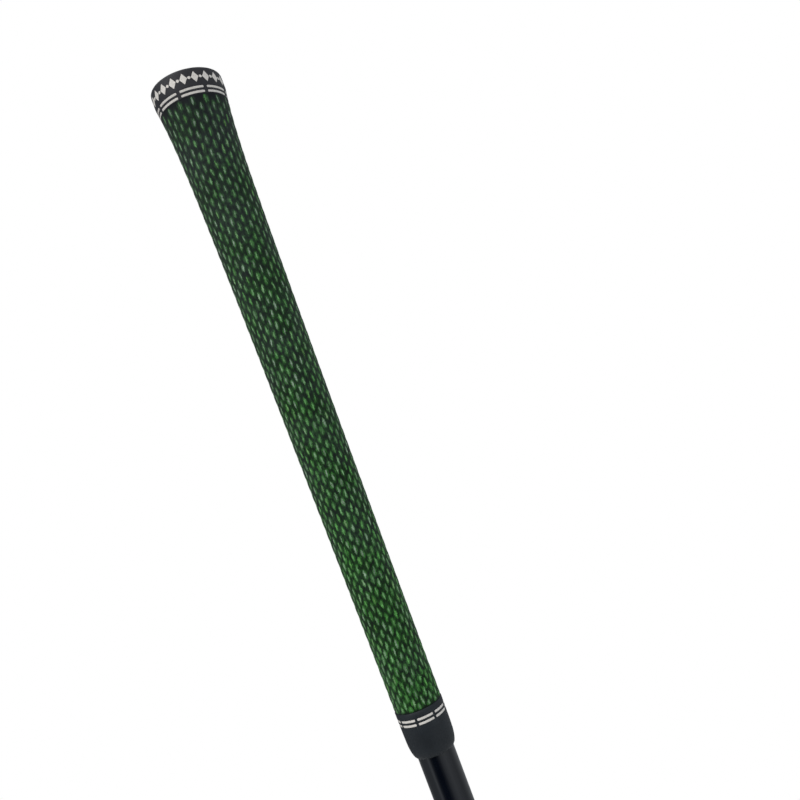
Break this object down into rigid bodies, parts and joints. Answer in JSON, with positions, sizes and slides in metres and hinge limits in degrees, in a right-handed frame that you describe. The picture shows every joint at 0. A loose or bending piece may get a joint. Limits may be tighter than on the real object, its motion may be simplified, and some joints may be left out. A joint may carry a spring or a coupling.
{
  "type": "swing trainer stick",
  "caption": "Golf swing trainer stick: corded rubber grip on a tapered shaft, with loose weight discs clamped on a threaded tip by a knob.",
  "frame": {"origin": "centre of the flat foot of the tip bumper, at the bottom of the stick with its discs clamped", "axes": "+Z along the shaft from tip to butt; -Y towards the grip's front cord panel"},
  "size_m": [0.03, 0.03, 1.143],
  "materials": {
    "cap_rubber": "matte moulded",
    "grip_rubber": "matte moulded",
    "corded_rubber": "buffed, with green cord crowns",
    "tape": "masking tape",
    "shaft_lacquer": "gloss lacquer on fibre tube",
    "black_plastic": "polished",
    "green_plastic": "polished",
    "nylon": "moulded",
    "grey_anodised": "satin anodised",
    "green_anodised": "satin anodised",
    "steel": "turned",
    "washer_rubber": "matte",
    "bumper_rubber": "matte moulded"
  },
  "bodies": {
    "root": {"grip_cap": "cap_rubber", "grip_core": "grip_rubber", "cord_panel_front": "corded_rubber", "cord_panel_back": "corded_rubber", "grip_tape": "tape", "shaft": "shaft_lacquer", "ferrule": "black_plastic", "ferrule_trim": "green_plastic", "hosel": "grey_anodised", "stud": "steel", "stud_pin": "steel", "seat_washer": "washer_rubber"},
    "discs": {"clamp_washer": "washer_rubber", "weight_small": "steel", "weight_medium": "steel", "weight_large": "steel"},
    "knob": {"lock_knob": "green_anodised", "lock_ring": "nylon", "tip_bumper": "bumper_rubber"}
  },
  "joints": [
    {"name": "disc_slide", "type": "slide", "parent": "root", "child": "discs", "axis": [0, 0, -1], "range_m": [0, 0.01]},
    {"name": "knob_screw", "type": "hinge", "parent": "discs", "child": "knob", "pos_m": [0, 0, 0.017], "axis": [0, 0, -1], "range_deg": [0, 2880]}
  ],
  "couplings": [
    {"joint": "knob_screw", "follows": "disc_slide", "rad_per_m": 5026.5}
  ]
}
